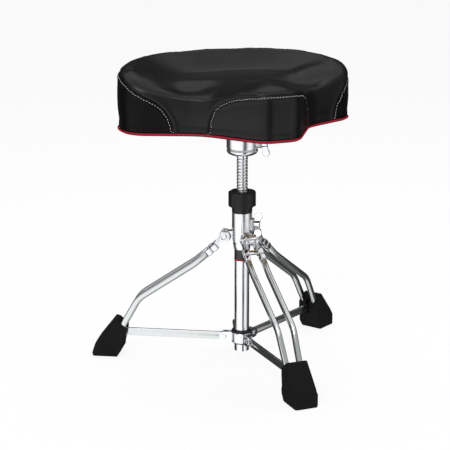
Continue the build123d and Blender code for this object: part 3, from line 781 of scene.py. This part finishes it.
    def on_wing_panel(self, rings: np.ndarray) -> np.ndarray:
        """Tells which of the shell's points lie on a sewn-in wing panel.

        Args:
            rings: The shell's rings, in millimetres.

        Returns:
            1 on the wing panels and 0 on the rest of the cover, per point.
        """
        tops = [np.interp(self.angle, [a for a, _ in keys], [z for _, z in keys], left=0.0)
                for keys in (self.wing_seam, self.right_wing_seam())]
        top = np.where(self.plan[:, 0] > 0, tops[1], tops[0])
        found = np.clip((top - rings[:, :, 2]) / 1.5 + 0.5, 0, 1)
        found[:self.top_rings] = 0
        return found

    def build(self) -> list[bpy.types.Object]:
        """Makes the cushion, its stitches, the piping and the hem.

        Returns:
            The pieces, riding on the seat.
        """
        rings = self.padded(self.shell())
        halves = []
        for left_keys, right_keys in ((self.nose_seam, self.nose_seam),
                                      (self.wing_seam, self.right_wing_seam())):
            right = self.seam_line(rings, right_keys, 1)
            left = self.seam_line(rings, left_keys, -1)
            halves.append(np.vstack([right, left[::-1][1:]]))
        flat = rings.reshape(-1, 3)
        cushion = mesh_piece("saddle_cushion", flat + [0, self.axis_y, 0], grid_faces(*rings.shape[:2]))
        # the wing panel mask, which lowers the vinyl's sheen there as painted shade
        share = cushion.data.attributes.new(WING_PANEL_SHADE, "FLOAT", "POINT")
        share.data.foreach_set("value", self.on_wing_panel(rings).ravel())
        caps = bmesh.new()
        caps.from_mesh(cushion.data)
        caps.verts.ensure_lookup_table()
        middle = [caps.verts[c] for c in range(self.columns)]
        bmesh.ops.pointmerge(caps, verts=middle,
                             merge_co=sum((v.co for v in middle), Vector()) / len(middle))
        bmesh.ops.holes_fill(caps, edges=[e for e in caps.edges if e.is_boundary])
        bmesh.ops.recalc_face_normals(caps, faces=caps.faces)
        caps.to_mesh(cushion.data)
        caps.free()
        place = coords(cushion.data)
        face = normals(cushion.data)
        shift = np.zeros(len(place))
        for line in halves:
            line = (line + [0, self.axis_y, 0]) * MM
            dense = np.array([line[i] + (line[i + 1] - line[i]) * t
                              for i in range(len(line) - 1) for t in (0.0, 0.25, 0.5, 0.75)])
            shift += self.groove(place, dense)
        cushion.data.vertices.foreach_set("co", (place + face * shift[:, None]).ravel())
        cushion.data.update()
        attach(cushion, "seat")
        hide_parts("seat_cushion")
        Finish.VINYL.put_on(cushion)
        pieces = [cushion]
        finder = KDTree(len(place))
        place, face = coords(cushion.data), normals(cushion.data)
        for i, point in enumerate(place):
            finder.insert(point, i)
        finder.balance()
        for label, line, inward in (("nose", halves[0], 1), ("rear", halves[1], -1)):
            path = self.beside(line, inward, finder, place, face)
            stitches = sewn_line(f"{label}_panel_topstitch", path, False, self.stitch_length,
                                 self.stitch_pitch, self.thread, Finish.THREAD)
            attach(stitches, "seat")
            Finish.THREAD.put_on(stitches)
            pieces.append(stitches)
        pieces += [self.piping(), self.hem(), *self.staples()]
        return pieces

    def groove(self, place: np.ndarray, line: np.ndarray) -> np.ndarray:
        """Depth of a sewn seam at each vertex, with the puffed strip on both sides.

        Args:
            place: Vertex positions in metres.
            line: Dense points of the seam in metres.

        Returns:
            Outward shift of each vertex in metres.
        """
        tree = KDTree(len(line))
        for i, point in enumerate(line):
            tree.insert(point, i)
        tree.balance()
        low, high = line.min(axis=0) - 0.02, line.max(axis=0) + 0.02
        near = np.all((place > low) & (place < high), axis=1)
        shift = np.zeros(len(place))
        for i in np.nonzero(near)[0]:
            _, at, gap = tree.find(place[i])
            gap /= MM
            if gap < 18:
                pucker = 1 + 0.22 * math.sin(at * 0.9)
                dip = self.seam_groove * math.exp(-(gap / self.seam_half) ** 2)
                puff = 0.9 * math.exp(-((gap - 6.5) / 4.2) ** 2)
                shift[i] = (puff - dip * pucker) * MM
        return shift

    def beside(self, line: np.ndarray, inward: int, finder: KDTree, place: np.ndarray,
               face: np.ndarray) -> np.ndarray:
        """Moves a seam's line sideways on to the panel it is topstitched to.

        Args:
            line: The seam in millimetres about the column's axis.
            inward: 1 or -1, the side that the panel lies on.
            finder: Finds the cushion's nearest vertex.
            place: The cushion's vertices in metres.
            face: The cushion's normals.

        Returns:
            Points of the stitching in metres, just proud of the cover.
        """
        spot = (line + [0, self.axis_y, 0]) * MM
        ahead = np.gradient(spot, axis=0)
        ahead /= np.linalg.norm(ahead, axis=1)[:, None]
        path = []
        for here, along in zip(spot, ahead):
            _, i, _ = finder.find(here)
            side = np.cross(face[i], along) * inward
            goal = here + side * self.stitch_inset * MM
            found = finder.find_n(goal, 4)
            weight = np.array([1 / (d + 1e-5) for _, _, d in found])
            level = np.average([place[j] for _, j, _ in found], axis=0, weights=weight)
            out = np.average([face[j] for _, j, _ in found], axis=0, weights=weight)
            path.append(goal + out * float((level - goal) @ out) + out * 0.25 * MM)
        path = np.array(path)
        for _ in range(4):
            path[1:-1] = (path[:-2] + 2 * path[1:-1] + path[2:]) / 4
        return path

    def band(self, name: str, section: list[tuple[float, float]], finish: Finish) -> bpy.types.Object:
        """Sweeps a closed section round the plan.

        Args:
            name: The piece's name.
            section: Points of the section: inset from the plan and height.
            finish: What it is made of.

        Returns:
            The swept piece, riding on the seat.
        """
        rows = [np.column_stack([self.plan - self.out * inset, np.full(self.columns, z)])
                for inset, z in section + section[:1]]
        points = np.array(rows)[:, ::2] + [0, self.axis_y, 0]
        piece = mesh_piece(name, points.reshape(-1, 3), grid_faces(*points.shape[:2]))
        tidy = bmesh.new()
        tidy.from_mesh(piece.data)
        bmesh.ops.remove_doubles(tidy, verts=tidy.verts, dist=0.001 * MM)
        bmesh.ops.recalc_face_normals(tidy, faces=tidy.faces)
        tidy.to_mesh(piece.data)
        tidy.free()
        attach(piece, "seat")
        finish.put_on(piece)
        return piece

    def piping(self) -> bpy.types.Object:
        """Makes the red bead along the cushion's bottom edge."""
        ring = [(self.piping_r + 0.6 - self.piping_r * math.cos(a),
                 self.floor_z - 1.0 + self.piping_r * math.sin(a))
                for a in np.linspace(0, 2 * math.pi, 12, endpoint=False)]
        piece = self.band("piping_bead", ring, Finish.PIPING)
        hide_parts("seat_piping")
        return piece

    def hem(self) -> bpy.types.Object:
        """Makes the cover's hem, folded under the board and stapled there."""
        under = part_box("seat_board")[0].z / MM
        section = [(6.9, under + 4.5), (4.9, under + 4.5), (4.6, under + 0.4), (5.6, under - 0.8),
                   (8.0, under - 1.1), (27.0, under - 1.1), (28.0, under - 0.6), (28.0, under + 0.1),
                   (6.9, under + 0.1)]
        return self.band("cover_hem", section, Finish.VINYL)

    def staples(self) -> list[bpy.types.Object]:
        """Makes the staples that hold the hem."""
        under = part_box("seat_board")[0].z / MM
        line = np.column_stack([self.plan - self.out * 20, np.full(self.columns, under - 1.2)])[::4]
        row = sewn_line("hem_staples", (line + [0, self.axis_y, 0]) * MM, True, 9.0, 26.0, 0.9, Finish.ZINC)
        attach(row, "seat")
        Finish.ZINC.put_on(row)
        return [row]


# ---------------------------------------------------------------- the threaded rod


@dataclass
class ThreadedRod:
    """The height rod: a rolled helical thread with a plain spindle on top."""

    pitch: float = 6.35
    depth: float = 1.35
    spindle_r: float = 8.0
    shoulder_z: float = 418.5
    thread_top: float = 404.0
    thread_start: float = 122.0
    sides: int = 56
    rows_in_pitch: int = 12

    def build(self) -> list[bpy.types.Object]:
        """Makes the thread by a node tree and the plain ends by turning a profile.

        Returns:
            The thread and the spindle, riding on the rod.
        """
        low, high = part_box("threaded_rod")
        radius = (high.x - low.x) / 2 / MM
        axis_y = (low.y + high.y) / 2 / MM
        length = self.thread_top - self.thread_start
        maker = NodeMaker("rolled_thread", {
            "Radius": radius * MM, "Depth": self.depth * MM, "Pitch": self.pitch * MM,
            "Bottom": self.thread_start * MM, "Length": length * MM, "Axis Y": axis_y * MM,
        }, Finish.CHROME.material())
        tree, given = maker.tree, maker.given
        rows = int(length / self.pitch * self.rows_in_pitch)
        sheet = add_node(tree, "GeometryNodeMeshGrid", {"Size Y": given["Length"]},
                         {"Size X": 1.0, "Vertices X": self.sides + 1, "Vertices Y": rows + 1})
        place = add_node(tree, "GeometryNodeInputPosition")
        split = add_node(tree, "ShaderNodeSeparateXYZ", {0: place.outputs[0]})
        half = add_node(tree, "ShaderNodeMath", {0: given["Length"]}, {1: 0.5}, operation="MULTIPLY")
        lift = add_node(tree, "ShaderNodeMath", {0: split.outputs["Y"], 1: half.outputs[0]}, operation="ADD")
        up = add_node(tree, "ShaderNodeMath", {0: lift.outputs[0], 1: given["Bottom"]}, operation="ADD")
        turns = add_node(tree, "ShaderNodeMath", {0: lift.outputs[0], 1: given["Pitch"]}, operation="DIVIDE")
        phase = add_node(tree, "ShaderNodeMath", {0: turns.outputs[0], 1: split.outputs["X"]},
                         operation="SUBTRACT")
        flank = add_node(tree, "ShaderNodeMath", {0: phase.outputs[0]}, {1: 0.5}, operation="PINGPONG")
        crest = add_node(tree, "ShaderNodeMapRange", {"Value": flank.outputs[0]},
                         {"From Min": 0.15, "From Max": 0.44}, interpolation_type="SMOOTHSTEP")
        cut = add_node(tree, "ShaderNodeMath", {0: crest.outputs[0], 1: given["Depth"]}, operation="MULTIPLY")
        reach = add_node(tree, "ShaderNodeMath", {0: given["Radius"], 1: cut.outputs[0]},
                         operation="SUBTRACT")
        turn = add_node(tree, "ShaderNodeMath", {0: split.outputs["X"]}, {1: 2 * math.pi},
                        operation="MULTIPLY")
        across = add_node(tree, "ShaderNodeMath", {0: turn.outputs[0]}, operation="COSINE")
        along = add_node(tree, "ShaderNodeMath", {0: turn.outputs[0]}, operation="SINE")
        x = add_node(tree, "ShaderNodeMath", {0: across.outputs[0], 1: reach.outputs[0]},
                     operation="MULTIPLY")
        y = add_node(tree, "ShaderNodeMath", {0: along.outputs[0], 1: reach.outputs[0],
                                              2: given["Axis Y"]}, operation="MULTIPLY_ADD")
        spot = add_node(tree, "ShaderNodeCombineXYZ", {0: x.outputs[0], 1: y.outputs[0], 2: up.outputs[0]})
        rolled = add_node(tree, "GeometryNodeSetPosition",
                          {"Geometry": sheet.outputs[0], "Position": spot.outputs[0]})
        joined = add_node(tree, "GeometryNodeMergeByDistance", {"Geometry": rolled.outputs[0]},
                          {"Distance": 0.01 * MM})
        smooth = add_node(tree, "GeometryNodeSetShadeSmooth", {"Geometry": joined.outputs[0]})
        maker.close(smooth.outputs[0])
        host = mesh_piece("rod_thread", np.zeros((1, 3)), [])
        thread = maker.run(host)
        self.face_out(thread)
        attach(thread, "rod")
        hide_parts("threaded_rod")
        Finish.CHROME.put_on(thread)
        root = radius - self.depth
        top = self.turned("rod_spindle", [
            (0.0, self.thread_top - 2), (root - 0.4, self.thread_top - 2), (radius, self.thread_top),
            (radius, self.shoulder_z - 0.8), (radius - 0.8, self.shoulder_z),
            (self.spindle_r, self.shoulder_z), (self.spindle_r, high.z / MM - 1),
            (self.spindle_r - 1, high.z / MM), (0.0, high.z / MM)], axis_y)
        end = self.turned("rod_lower_end", [
            (0.0, low.z / MM), (radius - 2, low.z / MM), (radius - 0.4, low.z / MM + 1.6),
            (radius - 0.4, self.thread_start), (root - 0.4, self.thread_start + 2),
            (0.0, self.thread_start + 2)], axis_y)
        return [thread, top, end]

    @staticmethod
    def face_out(piece: bpy.types.Object) -> None:
        """Turns a tube's faces away from its own axis."""
        mesh = piece.data
        spot = coords(mesh)
        axis = spot.mean(axis=0)
        face = mesh.polygons[len(mesh.polygons) // 2]
        away = np.array(face.center) - axis
        if float(np.array(face.normal[:2]) @ away[:2]) < 0:
            mesh.flip_normals()

    @staticmethod
    def turned(name: str, profile: list[tuple[float, float]], axis_y: float) -> bpy.types.Object:
        """Turns a profile round the column's axis.

        Args:
            name: The piece's name.
            profile: Radius and height of each point, from the bottom's middle to the top's.
            axis_y: Where the axis stands along Y.

        Returns:
            The closed turned piece, riding on the rod.
        """
        sides = 64
        turn = np.linspace(0, 2 * math.pi, sides, endpoint=False)
        rows = [np.column_stack([r * np.cos(turn), axis_y + r * np.sin(turn), np.full(sides, z)])
                for r, z in profile]
        piece = mesh_piece(name, np.array(rows).reshape(-1, 3), grid_faces(len(profile), sides))
        tidy = bmesh.new()
        tidy.from_mesh(piece.data)
        bmesh.ops.remove_doubles(tidy, verts=tidy.verts, dist=0.001 * MM)
        bmesh.ops.recalc_face_normals(tidy, faces=tidy.faces)
        tidy.to_mesh(piece.data)
        tidy.free()
        piece.data.set_sharp_from_angle(angle=math.radians(35))
        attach(piece, "rod")
        Finish.CHROME.put_on(piece)
        return piece


# ---------------------------------------------------------------- sub-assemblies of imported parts


@dataclass
class Hardware:
    """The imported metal, plastic and rubber parts, one row for each node."""

    def rows(self) -> list[DressedNode]:
        """Lists every node with its body, finish and edge.

        Returns:
            The nodes to dress.
        """
        base = [("base_tube", Finish.CHROME, 0.3), ("tube_plug", Finish.PLASTIC, 0.3),
                ("tube_band", Finish.BAND, 0.0), ("band_trim", Finish.PIPING, 0.0),
                ("upper_casting", Finish.CAST_CHROME, 0.9), ("casting_bush", Finish.BUSH, 0.2),
                ("hinge_bolts", Finish.CHROME, 0.3), ("hinge_nuts", Finish.CHROME, 0.4)]
        rod = [("rod_guide", Finish.BUSH, 0.3), ("rod_guide_screw", Finish.ZINC, 0.2),
               ("thrust_washer", Finish.BUSH, 0.2)]
        nut = [("height_nut", Finish.PLASTIC, 0.5), ("nut_insert", Finish.ZINC, 0.2)]
        seat = [("seat_board", Finish.PLY, 0.4), ("seat_flange", Finish.ZINC, 0.4),
                ("flange_screws", Finish.ZINC, 0.2), ("tee_nuts", Finish.ZINC, 0.2),
                ("seat_hub", Finish.CAST_CHROME, 0.6), ("hub_cap", Finish.CHROME, 0.6),
                ("hub_bush", Finish.BUSH, 0.2)]
        collar = [("lower_collar", Finish.CHROME, 0.4), ("collar_bush", Finish.PLASTIC, 0.3),
                  ("collar_rivets", Finish.CHROME, 0.3)]
        found = []
        for body, group in (("base", base), ("rod", rod), ("height_nut", nut), ("seat", seat),
                            ("collar", collar)):
            found += [DressedNode(node, body, finish, edge) for node, finish, edge in group]
        for bolt in ("seat_wing_bolt", "casting_wing_bolt", "collar_wing_bolt"):
            found.append(DressedNode(bolt, bolt, Finish.CHROME, 0.5))
        for side in ("front", "left", "right"):
            found += [DressedNode(f"{side}_leg_yoke", f"{side}_leg", Finish.CHROME, 0.6),
                      DressedNode(f"{side}_leg_ferrules", f"{side}_leg", Finish.CHROME, 0.3),
                      DressedNode(f"{side}_leg_braces", f"{side}_leg", Finish.BRACE_CHROME, 0.5),
                      DressedNode(f"{side}_foot", f"{side}_leg", Finish.RUBBER, 1.6),
                      DressedNode(f"{side}_strut", f"{side}_strut", Finish.BRACE_CHROME, 0.5)]
        return found

    def build(self, frame: dict) -> list[bpy.types.Object]:
        """Dresses every node of the hardware."""
        return [row.build(frame) for row in self.rows()]


# ---------------------------------------------------------------- studio


@dataclass
class Studio:
    """White sweep, soft lamps, a tent of light and dark panels for the chrome, and the camera."""

    lens_mm: float = 117.43
    sensor_mm: float = 36.0
    stand: tuple[float, float, float] = (-1.0897, -2.5062, 0.9703)
    sight: tuple[float, float, float] = (0.3756, 0.8930, -0.2481)
    ambient: float = 0.5

    # degrees to the camera's right and the brightness of the tent there
    panels = ((-180, 0.5), (-170, 0.06), (-106, 0.06), (-92, 0.9), (-72, 1.5), (-20, 1.45), (3, 1.3),
              (11, 0.1), (28, 0.1), (38, 1.0), (56, 1.45), (74, 1.0), (90, 0.5), (104, 0.06),
              (168, 0.06), (180, 0.5))
    back_wall: float = 0.05
    ceiling: float = 1.15

    def build(self, axis_y: float) -> None:
        """Sets the whole stage.

        Args:
            axis_y: Where the column stands along Y, in metres.
        """
        scene = bpy.context.scene
        scene.view_settings.view_transform = "Standard"
        self.camera(axis_y)
        self.world()
        self.floor()
        self.lamp("key_softbox", (-1.5, -1.3, 2.3), 1.4, 30.0, seen=True)
        self.lamp("top_softbox", (0.3, 0.9, 2.6), 1.6, 26.0, seen=False)
        self.lamp("side_softbox", (2.2, -0.7, 1.3), 1.0, 14.0, seen=False)

    def camera(self, axis_y: float) -> None:
        """Places the camera."""
        data = bpy.data.cameras.new("camera")
        data.lens = self.lens_mm
        data.sensor_width = self.sensor_mm
        data.clip_end = 200.0
        eye = bpy.data.objects.new("camera", data)
        eye.location = Vector(self.stand) + Vector((0, axis_y, 0))
        eye.rotation_mode = "QUATERNION"
        eye.rotation_quaternion = Vector(self.sight).to_track_quat("-Z", "Y")
        bpy.context.scene.collection.objects.link(eye)
        bpy.context.scene.camera = eye

    def world(self) -> None:
        """Builds the world: white behind the object, panels in the metal, even light elsewhere."""
        world = bpy.data.worlds.new("tent")
        bpy.context.scene.world = world
        world.use_nodes = True
        tree = world.node_tree
        tree.nodes.clear()
        path = add_node(tree, "ShaderNodeLightPath")
        way = add_node(tree, "ShaderNodeTexCoord")
        split = add_node(tree, "ShaderNodeSeparateXYZ", {0: way.outputs["Generated"]})
        bearing = add_node(tree, "ShaderNodeMath", {0: split.outputs["Y"], 1: split.outputs["X"]},
                           operation="ARCTAN2")
        facing = math.atan2(-self.sight[1], -self.sight[0])
        rel = add_node(tree, "ShaderNodeMath", {0: bearing.outputs[0]}, {1: facing},
                       operation="SUBTRACT")
        wrapped = add_node(tree, "ShaderNodeMath", {0: rel.outputs[0]},
                           {1: math.pi, 2: -math.pi}, operation="WRAP")
        share = add_node(tree, "ShaderNodeMapRange", {"Value": wrapped.outputs[0]},
                         {"From Min": -math.pi, "From Max": math.pi})
        ramp = add_node(tree, "ShaderNodeValToRGB", {"Fac": share.outputs[0]})
        marks = ramp.color_ramp.elements
        while len(marks) < len(self.panels):
            marks.new(0.5)
        for mark, (degrees, level) in zip(marks, self.panels):
            mark.position = (degrees + 180) / 360
            mark.color = (level, level, level, 1)
        behind = add_node(tree, "ShaderNodeVectorMath", {0: way.outputs["Generated"]},
                          {1: self.sight}, operation="DOT_PRODUCT")
        back = add_node(tree, "ShaderNodeMapRange", {"Value": behind.outputs["Value"]},
                        {"From Min": -0.1, "From Max": 0.45, "To Min": 0.6, "To Max": self.back_wall})
        roof = add_node(tree, "ShaderNodeMapRange", {"Value": split.outputs["Z"]},
                        {"From Min": 0.55, "From Max": 0.78, "To Max": self.ceiling},
                        interpolation_type="SMOOTHSTEP")
        upper = add_node(tree, "ShaderNodeMath", {0: back.outputs[0], 1: roof.outputs[0]},
                         operation="MAXIMUM")
        above = add_node(tree, "ShaderNodeMapRange", {"Value": split.outputs["Z"]},
                         {"From Min": 0.0, "From Max": 0.1})
        blend = add_node(tree, "ShaderNodeMix", {"Factor": above.outputs[0],
                                                 "A": ramp.outputs["Color"],
                                                 "B": upper.outputs[0]}, data_type="RGBA")
        tent = add_node(tree, "ShaderNodeBackground", {"Color": blend.outputs["Result"]})
        white = add_node(tree, "ShaderNodeBackground", None, {"Color": (1, 1, 1, 1)})
        even = add_node(tree, "ShaderNodeBackground", None,
                        {"Color": (1, 1, 1, 1), "Strength": self.ambient})
        metal = add_node(tree, "ShaderNodeMixShader", {0: path.outputs["Is Glossy Ray"],
                                                       1: even.outputs[0], 2: tent.outputs[0]})
        seen = add_node(tree, "ShaderNodeMath", {0: path.outputs["Is Camera Ray"],
                                                 1: path.outputs["Is Transmission Ray"]},
                        operation="MAXIMUM")
        both = add_node(tree, "ShaderNodeMixShader", {0: seen.outputs[0], 1: metal.outputs[0],
                                                      2: white.outputs[0]})
        add_node(tree, "ShaderNodeOutputWorld", {"Surface": both.outputs[0]})

    def floor(self) -> None:
        """Makes the white floor, which keeps a soft shadow."""
        size = 60000.0
        corners = np.array([(-size, -size, 0), (size, -size, 0), (size, size, 0), (-size, size, 0)])
        floor = mesh_piece("studio_floor", corners - [0, 0, 0.3], [(0, 1, 2, 3)], False)
        paper = bpy.data.materials.new("matt_paper_sweep")
        paper.use_nodes = True
        tree = paper.node_tree
        shader = tree.nodes["Principled BSDF"]
        shader.inputs["Base Color"].default_value = linear("#F6F6F6")
        shader.inputs["Roughness"].default_value = 0.9
        shader.inputs["Specular IOR Level"].default_value = 0.0
        path = add_node(tree, "ShaderNodeLightPath")
        glow = add_node(tree, "ShaderNodeEmission", None, {"Color": (1, 1, 1, 1)})
        lift = add_node(tree, "ShaderNodeMath", {0: path.outputs["Is Camera Ray"]}, {1: 0.9},
                        operation="MULTIPLY")
        mixed = add_node(tree, "ShaderNodeMixShader", {0: lift.outputs[0], 1: shader.outputs[0],
                                                       2: glow.outputs[0]})
        tree.links.new(mixed.outputs[0], tree.nodes["Material Output"].inputs["Surface"])
        floor.data.materials.append(paper)
        floor.visible_glossy = False

    @staticmethod
    def lamp(name: str, place: tuple[float, float, float], size: float, power: float,
             seen: bool) -> None:
        """Hangs a square softbox that looks at the seat.

        Args:
            name: The lamp's name.
            place: Where it hangs, in metres.
            size: Its side, in metres.
            power: Its power in watts.
            seen: Whether the glossy surfaces mirror it.
        """
        data = bpy.data.lights.new(name, "AREA")
        data.shape = "SQUARE"
        data.size = size
        data.energy = power
        lamp = bpy.data.objects.new(name, data)
        lamp.location = place
        lamp.visible_glossy = seen
        lamp.rotation_mode = "QUATERNION"
        lamp.rotation_quaternion = (Vector((0, 0.05, 0.35)) - Vector(place)).to_track_quat("-Z", "Y")
        bpy.context.scene.collection.objects.link(lamp)


def main() -> None:
    """Builds the throne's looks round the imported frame."""
    logging.basicConfig(level=logging.INFO, format="%(message)s")
    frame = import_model()
    low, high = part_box("threaded_rod")
    Studio().build((low.y + high.y) / 2)
    for piece in (*Hardware().build(frame), *ThreadedRod().build(), *SaddleSeat().build()):
        LOG.info("%s is in place", piece.name)


if __name__ == "__main__":
    main()
